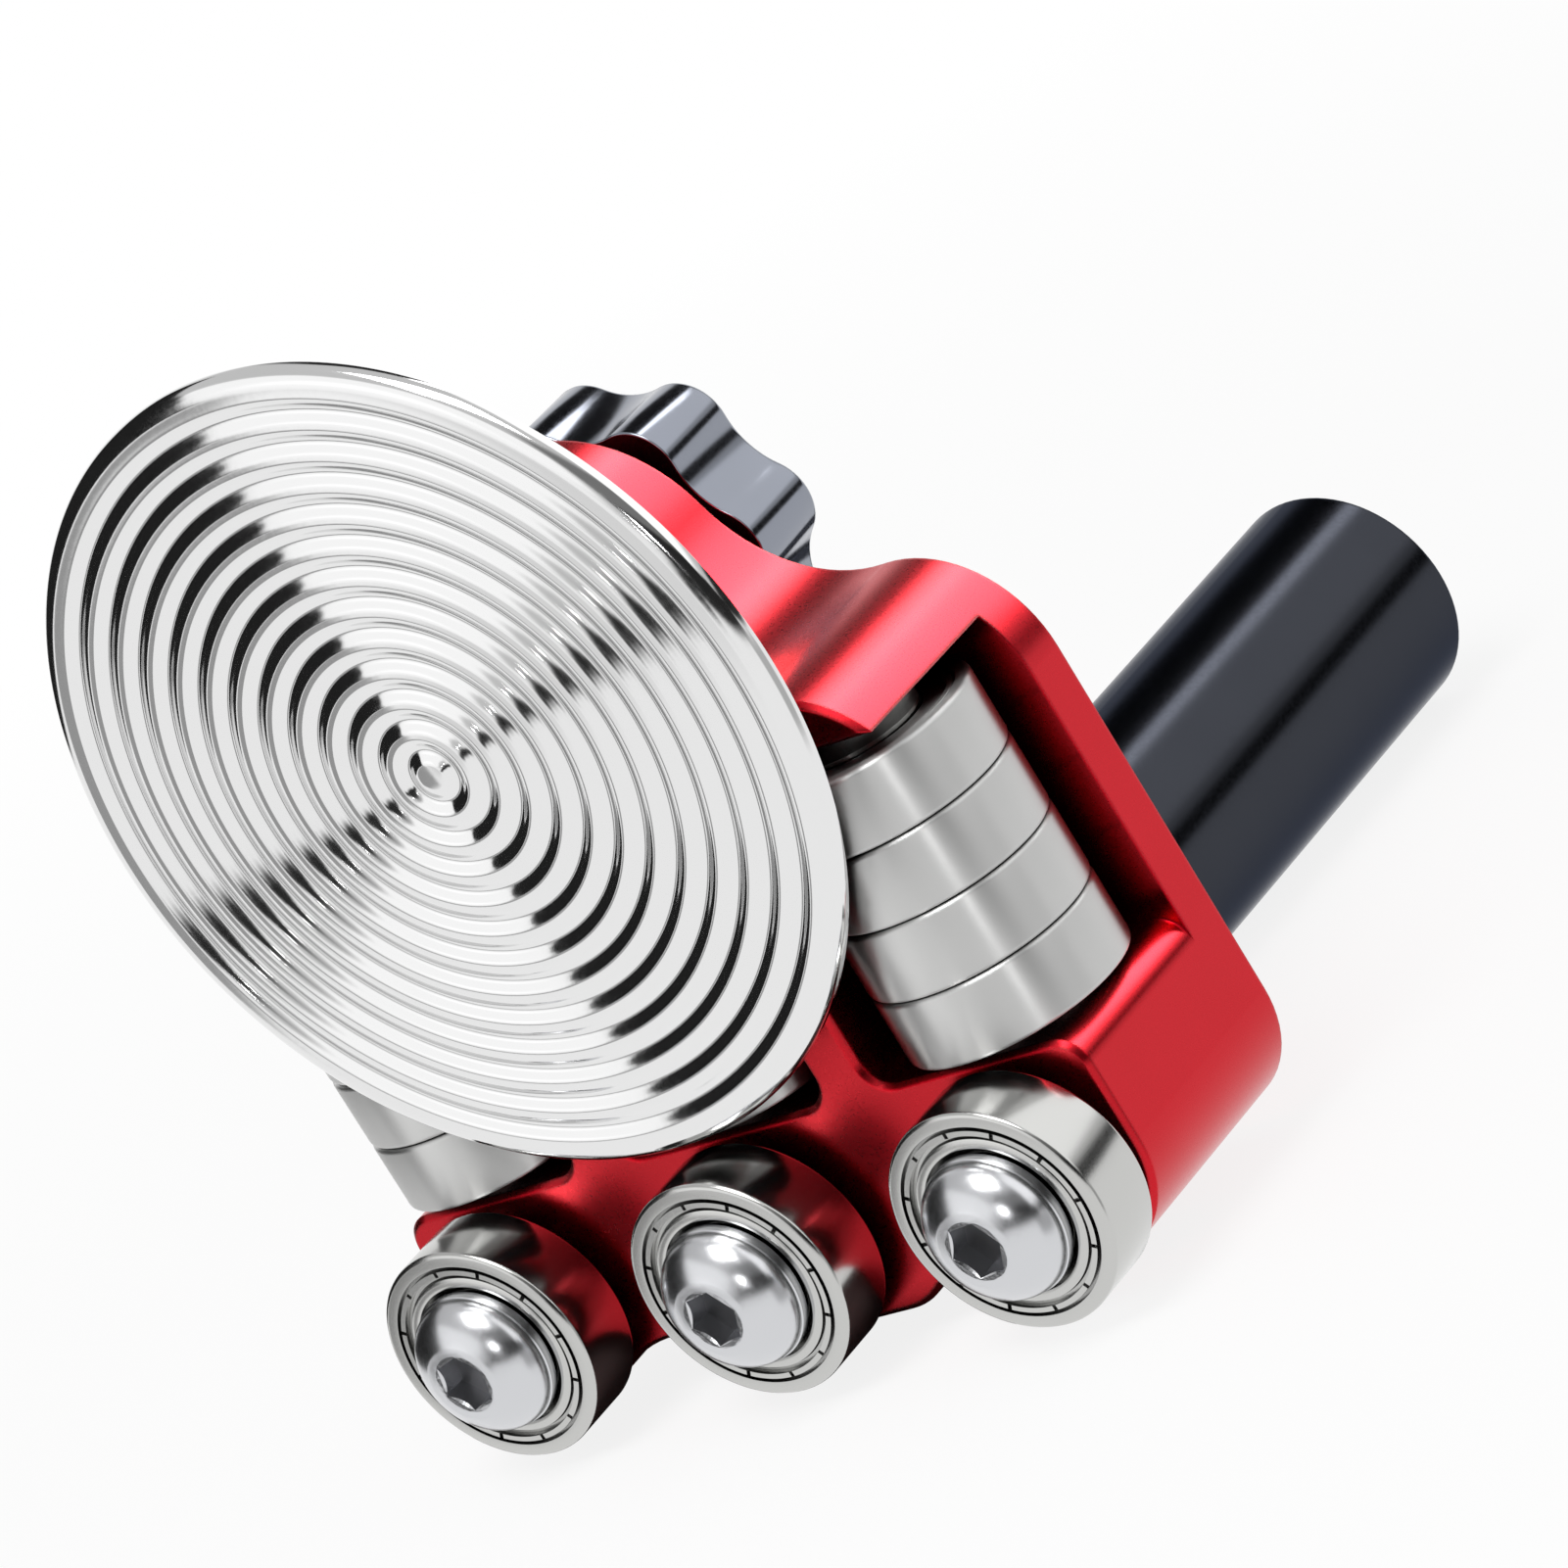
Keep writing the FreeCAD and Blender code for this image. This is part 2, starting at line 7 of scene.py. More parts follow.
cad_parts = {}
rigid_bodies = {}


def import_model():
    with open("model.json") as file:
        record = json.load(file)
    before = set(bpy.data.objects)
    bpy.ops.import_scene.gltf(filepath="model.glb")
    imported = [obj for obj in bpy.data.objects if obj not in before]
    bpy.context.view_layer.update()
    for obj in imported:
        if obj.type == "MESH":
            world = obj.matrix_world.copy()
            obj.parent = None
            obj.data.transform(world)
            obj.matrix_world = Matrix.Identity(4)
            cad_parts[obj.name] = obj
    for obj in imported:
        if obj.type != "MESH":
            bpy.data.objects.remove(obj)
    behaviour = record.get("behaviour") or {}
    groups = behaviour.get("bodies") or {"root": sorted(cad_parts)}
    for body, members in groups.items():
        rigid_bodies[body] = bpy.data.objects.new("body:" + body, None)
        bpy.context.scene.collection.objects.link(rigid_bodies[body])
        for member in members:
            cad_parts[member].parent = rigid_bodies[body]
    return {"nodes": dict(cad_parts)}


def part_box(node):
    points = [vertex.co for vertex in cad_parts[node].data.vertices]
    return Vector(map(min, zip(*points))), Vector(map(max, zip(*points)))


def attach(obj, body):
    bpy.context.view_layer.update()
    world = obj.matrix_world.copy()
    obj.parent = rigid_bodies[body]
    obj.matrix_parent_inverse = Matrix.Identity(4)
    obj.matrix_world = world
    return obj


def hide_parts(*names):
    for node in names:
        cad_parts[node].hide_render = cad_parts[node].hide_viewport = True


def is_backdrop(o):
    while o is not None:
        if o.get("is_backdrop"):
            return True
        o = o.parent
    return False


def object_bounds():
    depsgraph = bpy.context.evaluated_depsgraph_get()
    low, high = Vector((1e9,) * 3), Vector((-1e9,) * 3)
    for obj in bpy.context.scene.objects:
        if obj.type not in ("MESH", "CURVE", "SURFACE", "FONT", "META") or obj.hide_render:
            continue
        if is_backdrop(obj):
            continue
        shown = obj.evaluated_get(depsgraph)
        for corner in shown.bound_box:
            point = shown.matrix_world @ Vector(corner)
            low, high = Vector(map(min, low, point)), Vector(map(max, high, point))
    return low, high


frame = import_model()
cad_low, cad_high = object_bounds()
bpy.ops.object.select_all(action="DESELECT")

# Body block
# One block of aluminium, milled to its outline with three pockets, then satin blasted
# and dyed red in the anodising bath. The dyed oxide glows red in the light, and its clear top
# carries paler glints.
MM = 0.001                              # sizes are given in mm, and the scene is in metres
NOISE_LOW, NOISE_HIGH = 0.3, 0.7        # a fractal noise seldom leaves this range
PATCH_MM = 12                           # cloudy patches in a dyed skin
# These two bound the painted shade that finish lays in corners
DEEP, OPEN = 0.1, 0.45                  # open share of the sky deep in a corner and outside it


def colour(hexa):
    """Linear red, green, blue and alpha of an sRGB hex value."""
    parts = [int(hexa[k:k + 2], 16) / 255 for k in (1, 3, 5)]
    return [c / 12.92 if c <= 0.04045 else ((c + 0.055) / 1.055) ** 2.4 for c in parts] + [1.0]


def add(tree, kind, settings={}, inputs={}):
    """Adds a node. Settings are its own fields, inputs are values or the outputs that feed it."""
    made = tree.nodes.new("ShaderNode" + kind)
    for field, value in settings.items():
        setattr(made, field, value)
    for socket, value in inputs.items():
        if isinstance(value, bpy.types.NodeSocket):
            tree.links.new(value, made.inputs[socket])
        else:
            made.inputs[socket].default_value = value
    return made


def finish(name, values, grit_mm, rough, grit_depth_mm=0.0, squeeze=(1, 1, 1), tint=None,
           edge_mm=0.0, painted_corner_shade=None):
    """A surface with a fine grit: its roughness wanders between two values.

    Real grit is under 0.1 mm and would not show, so it is drawn coarser. squeeze stretches it into
    lines, tint is a pair of hex colours to wander between, edge_mm is how round the tumbled edges
    look, and crevice is the colour deep in corners with its reach in mm."""
    material = bpy.data.materials.new(name)
    material.use_nodes = True
    tree = material.node_tree
    shader = tree.nodes["Principled BSDF"]
    for socket, value in values.items():
        shader.inputs[socket].default_value = value
    place = add(tree, "TexCoord").outputs["Object"]
    scaled = add(tree, "Mapping", {}, {"Vector": place, "Scale": squeeze}).outputs[0]
    grit = add(tree, "TexNoise", {},
               {"Vector": scaled, "Scale": 1 / (grit_mm * MM), "Detail": 4.0})
    spread = add(tree, "MapRange", {},
                 {"Value": grit.outputs["Fac"], "From Min": NOISE_LOW, "From Max": NOISE_HIGH,
                  "To Min": rough[0], "To Max": rough[1]})
    tree.links.new(spread.outputs["Result"], shader.inputs["Roughness"])
    skin = shader.inputs["Base Color"].default_value[:]
    if tint:
        patch = add(tree, "TexNoise", {},
                    {"Vector": place, "Scale": 1 / (PATCH_MM * MM), "Detail": 2.0})
        skin = add(tree, "Mix", {"data_type": "RGBA"},
                   {0: patch.outputs["Fac"], 6: colour(tint[0]), 7: colour(tint[1])}).outputs[2]
    # Painted shade: the base colour darkens towards the given dark colour where ambient occlusion
    # finds surfaces close by
    if painted_corner_shade:
        nearby = add(tree, "AmbientOcclusion", {"samples": 8}, {"Distance": painted_corner_shade[1] * MM})
        opened = add(tree, "MapRange", {},
                     {"Value": nearby.outputs["AO"], "From Min": DEEP, "From Max": OPEN})
        skin = add(tree, "Mix", {"data_type": "RGBA"},
                   {0: opened.outputs["Result"], 6: colour(painted_corner_shade[0]), 7: skin}).outputs[2]
    if tint or painted_corner_shade:
        tree.links.new(skin, shader.inputs["Base Color"])
    bump = add(tree, "Bump", {}, {"Height": grit.outputs["Fac"], "Distance": grit_depth_mm * MM})
    if edge_mm:
        eased = add(tree, "Bevel", {"samples": 8}, {"Radius": edge_mm * MM})
        tree.links.new(eased.outputs[0], bump.inputs["Normal"])
    tree.links.new(bump.outputs["Normal"], shader.inputs["Normal"])
    return material


def dress(material, *nodes):
    """Gives the finish to solids of the model that stay as they are."""
    for node in nodes:
        for place in frame["nodes"][node].material_slots:
            place.material = material


# Deep in the pockets and corners the red darkens to maroon: a painted shade
red_anodised = finish(
    "red_anodised_aluminium",
    {"Metallic": 1.0, "Coat Weight": 0.3, "Coat Roughness": 0.25, "Coat IOR": 1.5},
    grit_mm=0.25, rough=(0.26, 0.32), grit_depth_mm=0.002, tint=("#C60E1E", "#D01426"), edge_mm=0.5,
    painted_corner_shade=("#760C16", 5))
dress(red_anodised, "body_block")

# Handle and its stud
# A turned aluminium bar, polished and anodised black, screwed on the body with a stud.
# Its skin is smooth, so the studio shows in it as long soft bands. The stud is turned steel,
# whose tool marks blur what it mirrors to a dull grey.
black_anodised = finish(
    "black_anodised_aluminium", {"Metallic": 1.0, "Specular Tint": colour("#B4B6BC")},
    grit_mm=0.4, rough=(0.16, 0.22), grit_depth_mm=0.001, tint=("#393B41", "#3D3F45"), edge_mm=0.5)
dress(black_anodised, "handle")
# Close to other surfaces it darkens to near black: a painted shade
plain_steel = finish(
    "turned_steel", {"Metallic": 1.0, "Base Color": colour("#9C9C9A")},
    grit_mm=0.3, rough=(0.28, 0.42), grit_depth_mm=0.004, painted_corner_shade=("#1A1818", 12))
dress(plain_steel, "handle_stud")

# Roller stacks: axles, sleeves, spacers and washers
# Ground pins through the body with the bearings' inner races clamped on them between turned
# rings, in plain and in bearing steel. The ground races shine, with a painted shade dark in
# their grooves. The turned rings are duller and stand in the shade behind the rollers, with a
# painted shade in their corners.
bearing_face = finish(
    "ground_bearing_steel", {"Metallic": 1.0, "Base Color": colour("#C6C6C4")},
    grit_mm=0.12, rough=(0.15, 0.21), grit_depth_mm=0.002, painted_corner_shade=("#101010", 1.2))
dress(plain_steel, "roller_axles", "stack_top_spacers", "stack_bottom_washers", "front_spacers")
dress(bearing_face, "roller_inner_races", "front_inner_races")

# Roller bearings
# Sealed ball bearings of 22 mm across. The outer ring is hardened steel with a pressed shield
# crimped into each face. The grinding lines run round its rim, so that a lamp shows in it as
# one upright streak.
STEPS_ROUND = 96
SQUARE_ON = 0.9                         # cosine for a face that looks along an axis
WELD = 1e-7                             # metres between corners that become one


def barrel(name, radius, low, high, centre, axis, steps):
    """A plain round bar between two places along its axis, open for editing."""
    if axis == "Y":
        place, turn = (centre.x, (low + high) / 2, centre.z), (math.pi / 2, 0, 0)
    else:
        place, turn = (centre.x, centre.y, (low + high) / 2), (0, 0, 0)
    bpy.ops.mesh.primitive_cylinder_add(vertices=steps, radius=radius, depth=high - low,
                                        end_fill_type="NGON", location=place, rotation=turn)
    piece = bpy.context.object
    piece.name = piece.data.name = name
    bpy.ops.object.transform_apply(location=True, rotation=True, scale=True)
    bpy.ops.object.mode_set(mode="EDIT")
    return piece


def pick_faces(test):
    """Picks the faces of the piece in hand whose middle and normal pass the test."""
    mesh = bmesh.from_edit_mesh(bpy.context.object.data)
    bpy.ops.mesh.select_mode(type="FACE")
    bpy.ops.mesh.select_all(action="DESELECT")
    for face in mesh.faces:
        if test(face.calc_center_median(), face.normal):
            face.select_set(True)
    bmesh.update_edit_mesh(bpy.context.object.data)


def pick_end(axis, side):
    """Picks the flat end with the most corners, on the high side of an axis (1) or the low (-1)."""
    k = "XYZ".index(axis)
    mesh = bmesh.from_edit_mesh(bpy.context.object.data)
    bpy.ops.mesh.select_mode(type="FACE")
    bpy.ops.mesh.select_all(action="DESELECT")
    ends = [face for face in mesh.faces if face.normal[k] * side > SQUARE_ON]
    max(ends, key=lambda face: len(face.verts)).select_set(True)
    bmesh.update_edit_mesh(bpy.context.object.data)


def step_in(steps):
    """Insets the picked end ring by ring, each step so far inwards and so far outwards, in mm."""
    for inward, outward in steps:
        bpy.ops.mesh.inset(thickness=inward * MM, depth=outward * MM)


def rounded(radius, count, rise=None):
    """Steps that round the edge from a wall over to its end face. With a rise the round is oval."""
    turns = [math.pi / 2 * k / count for k in range(count + 1)]
    return [(radius * (math.cos(a) - math.cos(b)), (rise or radius) * (math.sin(b) - math.sin(a)))
            for a, b in zip(turns, turns[1:])]


def close_up(piece, angle=30):
    """Leaves edit mode with smooth faces, and crisp edges where they meet at over the angle."""
    bpy.ops.mesh.select_all(action="SELECT")
    bpy.ops.mesh.remove_doubles(threshold=WELD)
    bpy.ops.mesh.normals_make_consistent(inside=False)
    bpy.ops.object.mode_set(mode="OBJECT")
    bpy.ops.object.shade_smooth_by_angle(angle=math.radians(angle))
    piece.select_set(False)


def wear(piece, material, slot, body, *nodes):
    """Gives a new piece its finish, its body and the solids that it stands for."""
    piece.data.materials.append(material)
    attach(piece, body)
    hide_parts(*nodes)


RIM_ROUND = 0.45
ROUND_STEPS = 4
LAND = 1.35
SHIELD_BORE = 6.35
# Each step over a shield runs so far inwards and so far outwards
ROLLER_SHIELD = [(0.25, -0.35), (0.15, 0.0), (0.1, 0.18), (0.45, 0.0), (0.25, -0.2), (1.4, 0.0)]


def race_face(radius, shield):
    """Steps from the rim of an outer ring to the bore of its shield."""
    steps = rounded(RIM_ROUND, ROUND_STEPS) + [(LAND - RIM_ROUND, 0.0)] + shield
    reached = radius - sum(inward for inward, outward in steps)
    return steps + [(reached - SHIELD_BORE, 0.0)]


# Where the stacked bearings stand close to each other and to the pocket they darken to near black:
# a painted shade
roller_steel = finish(
    "ground_roller_steel",
    {"Metallic": 1.0, "Base Color": colour("#D2D2D1"),
     "Anisotropic": 0.9, "Anisotropic Rotation": 0.25},
    grit_mm=0.5, rough=(0.36, 0.42), grit_depth_mm=0.002, squeeze=(1, 1, 12),
    painted_corner_shade=("#1A1818", 12))
# The lines go round each bearing's upright axis
tree = roller_steel.node_tree
round_axis = add(tree, "Tangent", {"direction_type": "RADIAL", "axis": "Z"})
tree.links.new(round_axis.outputs[0], tree.nodes["Principled BSDF"].inputs["Tangent"])
sides = ("left", "middle", "right")
rollers = [side + "_roller_" + str(k) for side in sides for k in range(1, 5)]
for node in rollers:
    low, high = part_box(node)
    centre = (low + high) / 2
    radius = (high.x - low.x) / 2
    roller = barrel(node + "_bearing", radius, low.z + RIM_ROUND * MM, high.z - RIM_ROUND * MM,
                    centre, "Z", STEPS_ROUND)
    for side in (1, -1):
        pick_end("Z", side)
        step_in(race_face(radius / MM, ROLLER_SHIELD))
    pick_faces(lambda middle, normal: abs(normal.z) > SQUARE_ON
               and math.hypot(middle.x - centre.x, middle.y - centre.y) < MM)
    bpy.ops.mesh.bridge_edge_loops()
    close_up(roller)
    wear(roller, roller_steel, "bearing_steel", node, node)

# Front bearings
# The same bearings along the foot, seen face on. A spring ring with a dozen small notches
# holds the dished shield in the outer ring's face.
FRONT_STEPS = 144
NOTCHES = 12
NOTCH_DEPTH = 0.3
NOTCH_EDGE = 0.02
CRIMP = 0.5
CRIMP_NEAR = 0.1
OUTER_GROOVE = [(0.05, -0.6), (0.28, 0.0), (0.05, 0.62)]
DISHED = [(0.05, -0.62), (0.3, 0.0), (0.12, 0.35), (0.45, 0.15), (0.45, -0.05), (0.5, -0.5),
          (0.45, -0.5)]
front_shield = OUTER_GROOVE + [(CRIMP, 0.02)] + DISHED
crimp_at = LAND + sum(inward for inward, outward in OUTER_GROOVE) + CRIMP / 2
for side in sides:
    node = side + "_front_race"
    low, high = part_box(node)
    centre = (low + high) / 2
    radius = (high.x - low.x) / 2
    race = barrel(node + "_bearing", radius, low.y + RIM_ROUND * MM, high.y - RIM_ROUND * MM,
                  centre, "Y", FRONT_STEPS)
    pick_end("Y", -1)
    step_in(race_face(radius / MM, front_shield))

    def on_notch(middle, normal):
        """True for one face in so many round the crimped ring."""
        x, z = middle.x - centre.x, middle.z - centre.z
        turned = math.degrees(math.atan2(z, x)) % (360 / NOTCHES)
        return (abs(math.hypot(x, z) - radius + crimp_at * MM) < CRIMP_NEAR * MM
                and normal.y < -SQUARE_ON and turned < 360 / FRONT_STEPS)

    pick_faces(on_notch)
    bpy.ops.mesh.inset(thickness=NOTCH_EDGE * MM, depth=-NOTCH_DEPTH * MM, use_individual=True)
    pick_end("Y", 1)
    step_in(race_face(radius / MM, ROLLER_SHIELD))
    pick_faces(lambda middle, normal: abs(normal.y) > SQUARE_ON
               and math.hypot(middle.x - centre.x, middle.z - centre.z) < MM)
    bpy.ops.mesh.bridge_edge_loops()
    close_up(race)
    wear(race, bearing_face, "bearing_steel", node, node)

# Front screws
# Button-head screws of 8 mm that clamp the front bearings to the body. The polished dome gives
# a small blurred image of the studio. The hexagon socket is duller and painted darker inside, a
# painted shade in the recess, and each screw was left at its own turn.
SHANK_R = 4.0
HEAD_RIM = 0.8
HEAD_EASE = 0.12
HEAD_FLAT_R = 3.7
DOME_STEPS = 20
SOCKET_ACROSS = 5.0
SOCKET_DEPTH = 2.6
SOCKET_MOUTH = 0.1
MOUTH_STEPS = 48
# Below this depth the socket is duller and painted darker, a painted shade
SOCKET_SHADE_FROM = 0.8                      # depth that the polish reaches
SOCKET_TURNS = {"left": 15, "middle": 8, "right": 4}
screw_steel = finish(
    "polished_screw_steel", {"Metallic": 1.0, "Base Color": colour("#D2D3D6")},
    grit_mm=0.4, rough=(0.21, 0.25), grit_depth_mm=0.001)
# Painted shade for the inside of the hexagon socket, darker and duller than the dome
socket_painted_shade = finish(
    "painted_shade_in_hex_socket", {"Metallic": 1.0, "Base Color": colour("#58585A")},
    grit_mm=0.2, rough=(0.35, 0.45), grit_depth_mm=0.004)


def domed(radius, rise, reach, count):
    """Steps up an oval dome, from its rim to the flat that is left at the given radius."""
    last = math.acos(reach / radius)
    full = rise / math.sin(last)
    turns = [last * k / count for k in range(count + 1)]
    return [(radius * (math.cos(a) - math.cos(b)), full * (math.sin(b) - math.sin(a)))
            for a, b in zip(turns, turns[1:])]


def cut_out(piece, tool):
    """Takes the shape of a tool out of a piece."""
    piece.select_set(False)
    taken = piece.modifiers.new("cut", "BOOLEAN")
    taken.object = tool
    taken.solver = "EXACT"
    bpy.context.view_layer.objects.active = piece
    bpy.ops.object.modifier_apply(modifier="cut")
    bpy.data.objects.remove(tool)


low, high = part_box("front_screws")
head_r = (high.z - low.z) / 2
corner_r = SOCKET_ACROSS / math.sqrt(3) * MM
mouth_r = corner_r + SOCKET_MOUTH * MM
for side in sides:
    race_low, race_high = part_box(side + "_front_race")
    centre = (race_low + race_high) / 2
    screw = barrel(side + "_front_screw", head_r, race_low.y - HEAD_RIM * MM, race_low.y,
                   centre, "Y", FRONT_STEPS)
    pick_end("Y", -1)
    step_in([(HEAD_EASE, HEAD_EASE)]
            + domed(head_r / MM - HEAD_EASE, (race_low.y - low.y) / MM - HEAD_RIM - HEAD_EASE,
                    HEAD_FLAT_R, DOME_STEPS))
    pick_end("Y", 1)
    step_in([(head_r / MM - SHANK_R, 0.0), (0.0, (high.y - race_low.y) / MM)])
    close_up(screw, 25)
    socket_turn = math.radians(30 - SOCKET_TURNS[side])
    bpy.ops.mesh.primitive_cylinder_add(vertices=6, radius=corner_r, depth=2 * SOCKET_DEPTH * MM,
                                        location=(centre.x, low.y, centre.z),
                                        rotation=(math.pi / 2, socket_turn, 0))
    cut_out(screw, bpy.context.object)
    bpy.ops.mesh.primitive_cone_add(vertices=MOUTH_STEPS, radius1=mouth_r, radius2=0,
                                    depth=mouth_r, rotation=(-math.pi / 2, 0, 0),
                                    location=(centre.x, low.y + mouth_r / 2, centre.z))
    cut_out(screw, bpy.context.object)
    stands_for = ["front_screws"] if side == "left" else []
    wear(screw, screw_steel, "screw_steel", "root", *stands_for)
    screw.data.materials.append(socket_painted_shade)
    bpy.ops.object.mode_set(mode="EDIT")
    pick_faces(lambda middle, normal:
               SOCKET_SHADE_FROM * MM < middle.y - low.y < 1.2 * SOCKET_DEPTH * MM
               and math.hypot(middle.x - centre.x, middle.z - centre.z) < corner_r)
    screw.active_material_index = 1
    bpy.ops.object.material_slot_assign()
    bpy.ops.object.mode_set(mode="OBJECT")

# Grooved disc and its hub
# A turned disc of steel with twelve round beads across its face and a rounded edge, polished
# to a mirror. The hub behind it holds a bronze bush and washer that trap the spindle's head.
polished_disc = finish(
    "polished_turned_steel", {"Metallic": 1.0, "Base Color": colour("#E6E6E6")},
    grit_mm=0.6, rough=(0.07, 0.10), grit_depth_mm=0.001)
DISC_STEPS = 256
BEADS = 12
BOSS_R = 1.11
BORDER = 2.35
EDGE_ROUND = 1.85
EDGE_STEPS = 12
FACE = 1.5
RIM = 0.1
STEPS_IN_BEAD = 20
LAND_FROM = -0.1                        # shares of the pitch, from the middle of a ridge outwards
LAND_TO = 0.07
GROOVE_AT = 0.49
LAND_SLOPE = 0.09                       # fall for each mm outwards
FLANK_SLOPE = 0.52
low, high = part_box("grooved_disc")
disc_r = (high.x - low.x) / 2 / MM
back_edge = (high.y - low.y) / MM - FACE - RIM
pitch = (disc_r - BORDER - BOSS_R) / BEADS
flat_border = BORDER - EDGE_ROUND


def bead_slope(share):
    """How steeply the rippled face falls away outwards, at a share of the pitch outside a ridge.

    Each ridge has a narrow land, and the grooves between are round."""
    share = (share - LAND_FROM) % 1 + LAND_FROM
    if share < LAND_TO:
        return LAND_SLOPE
    before = math.asin(LAND_SLOPE / FLANK_SLOPE)
    if share < GROOVE_AT:
        run = (share - LAND_TO) / (GROOVE_AT - LAND_TO)
        return FLANK_SLOPE * math.sin(before + (math.pi - before) * run)
    return -math.sin(math.pi * (share - GROOVE_AT) / (1 + LAND_FROM - GROOVE_AT))


disc = barrel("polished_disc", disc_r * MM, low.y + FACE * MM, high.y - back_edge * MM,
              (low + high) / 2, "Y", DISC_STEPS)
pick_end("Y", -1)
edge_rise = FACE - LAND_SLOPE * (flat_border - LAND_FROM * pitch)
step_in(rounded(EDGE_ROUND, EDGE_STEPS, edge_rise) + [(flat_border, LAND_SLOPE * flat_border)])
slopes = [bead_slope(-(k + 0.5) / STEPS_IN_BEAD) for k in range(STEPS_IN_BEAD)]
# Outer and inner flanks are made to rise and fall alike, so that the beads stay level
even = sum(slope for slope in slopes if slope > 0) / -sum(slope for slope in slopes if slope < 0)
each = pitch / STEPS_IN_BEAD
step_in([(each, each * slope * (even if slope < 0 else 1)) for slope in slopes] * BEADS)
pick_end("Y", 1)
step_in([(back_edge, back_edge)])
close_up(disc, 28)
wear(disc, polished_disc, "polished_disc", "disc", "grooved_disc")
# Turned bronze is yellow brown, with a soft sheen
bronze = finish("turned_bronze", {"Metallic": 1.0, "Base Color": colour("#B98A4E")},
                grit_mm=0.3, rough=(0.25, 0.35), grit_depth_mm=0.003)
dress(plain_steel, "disc_hub")
dress(bronze, "disc_bush", "thrust_washer")

# Spindle, adjusting nut and knob
# The spindle is steel with a thread cut on its end. The nut that pulls it is bronze, and the
# star knob locked on its neck is milled aluminium with eased edges. It is dipped bright before
# the black dye, so its lobes mirror the studio in slate grey.
dress(plain_steel, "disc_spindle", "spindle_key_screw", "retaining_ring", "knob_set_screw")
dress(bronze, "adjusting_nut")
knob_black = finish(
    "bright_black_anodised_aluminium", {"Metallic": 1.0},
    grit_mm=0.5, rough=(0.12, 0.16), grit_depth_mm=0.001, tint=("#8A8E97", "#9195A0"))
LOBES = 7
LOBE_STEPS = 32
LOBE_REACH = 15.8
VALLEY_REACH = 13.6
TIP_R = 4.4
LOBE_TURN = math.radians(48.5)
KNOB_ROUND = 0.6
KNOB_FRONT_ROUND = 0.2
BORE_R = 6.02
BORE_STEPS = 96
SET_SCREW_R = 2.02
SET_SCREW_STEPS = 32
SET_SCREW_VALLEY = 3.5                  # counted in lobes on from the first one
half = math.pi / LOBES
tip_at = LOBE_REACH - TIP_R
past = VALLEY_REACH - tip_at * math.cos(half)
valley_r = ((tip_at * math.sin(half)) ** 2 + past ** 2 - TIP_R ** 2) / (2 * (TIP_R - past))
valley_at = VALLEY_REACH + valley_r
share = TIP_R / (TIP_R + valley_r)
meet = math.atan2(share * valley_at * math.sin(half),
                  tip_at + share * (valley_at * math.cos(half) - tip_at))


def lobed(angle):
    """Reach of the star at an angle from the middle of a lobe: a round tip, then a round valley."""
    off = (angle + half) % (2 * half) - half
    if abs(off) < meet:
        return tip_at * math.cos(off) + math.sqrt(TIP_R ** 2 - (tip_at * math.sin(off)) ** 2)
    off = half - abs(off)
    return valley_at * math.cos(off) - math.sqrt(valley_r ** 2 - (valley_at * math.sin(off)) ** 2)


low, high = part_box("star_knob")
neck_low, neck_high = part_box("adjusting_nut")
hub = (neck_low + neck_high) / 2
hub.y = (low.y + high.y) / 2
knob = barrel("black_star_knob", LOBE_REACH * MM, low.y + KNOB_FRONT_ROUND * MM,
              high.y - KNOB_ROUND * MM, hub, "Y", LOBES * LOBE_STEPS)
mesh = bmesh.from_edit_mesh(knob.data)
for corner in mesh.verts:
    out = Vector((corner.co.x - hub.x, corner.co.z - hub.z))
    reach = lobed(math.atan2(out.y, out.x) - LOBE_TURN) * MM / out.length
    corner.co.x, corner.co.z = hub.x + out.x * reach, hub.z + out.y * reach
bmesh.update_edit_mesh(knob.data)
for side, edge in ((1, KNOB_ROUND), (-1, KNOB_FRONT_ROUND)):
    pick_end("Y", side)
    step_in(rounded(edge, ROUND_STEPS))
close_up(knob, 25)
bpy.ops.mesh.primitive_cylinder_add(vertices=BORE_STEPS, radius=BORE_R * MM, location=hub,
                                    depth=2 * (high.y - low.y), rotation=(math.pi / 2, 0, 0))
cut_out(knob, bpy.context.object)
screw_turn = LOBE_TURN + 2 * half * SET_SCREW_VALLEY
screw_way = Vector((math.cos(screw_turn), 0, math.sin(screw_turn)))
bpy.ops.mesh.primitive_cylinder_add(vertices=SET_SCREW_STEPS, radius=SET_SCREW_R * MM,
                                    depth=2 * LOBE_REACH * MM,
                                    location=hub + screw_way * LOBE_REACH * MM,
                                    rotation=(0, math.pi / 2 - screw_turn, 0))
cut_out(knob, bpy.context.object)
wear(knob, knob_black, "black_anodised", "knob", "star_knob")

# Floor, light and camera
# A round white table of matt laminate in a plain studio. The polished steel mirrors a softbox in
# front, a black flag on its left and the gap between box and table, so these are cards in the
# sky. Shine takes the table from the pale sky below, and the shade under the tool from a patch.
WHITE = (1.0, 1.0, 1.0, 1.0)
TABLE_R = 0.45
PLAIN_WHITE = 0.85
FADE_FROM, FADE_TO = 0.3, 0.9           # in shares of the table's radius
bpy.ops.mesh.primitive_circle_add(vertices=128, radius=TABLE_R, fill_type="NGON",
                                  location=(0, 0, cad_low.z))
table = bpy.context.object
table.name = "white_table"
table.visible_glossy = False
table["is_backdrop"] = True
table_top = bpy.data.materials.new("matt_white_laminate")
table_top.use_nodes = True
tree = table_top.node_tree
laminate = tree.nodes["Principled BSDF"]
laminate.inputs["Base Color"].default_value = colour("#EFEFEF")
laminate.inputs["Roughness"].default_value = 0.8
laminate.inputs["Specular IOR Level"].default_value = 0.2
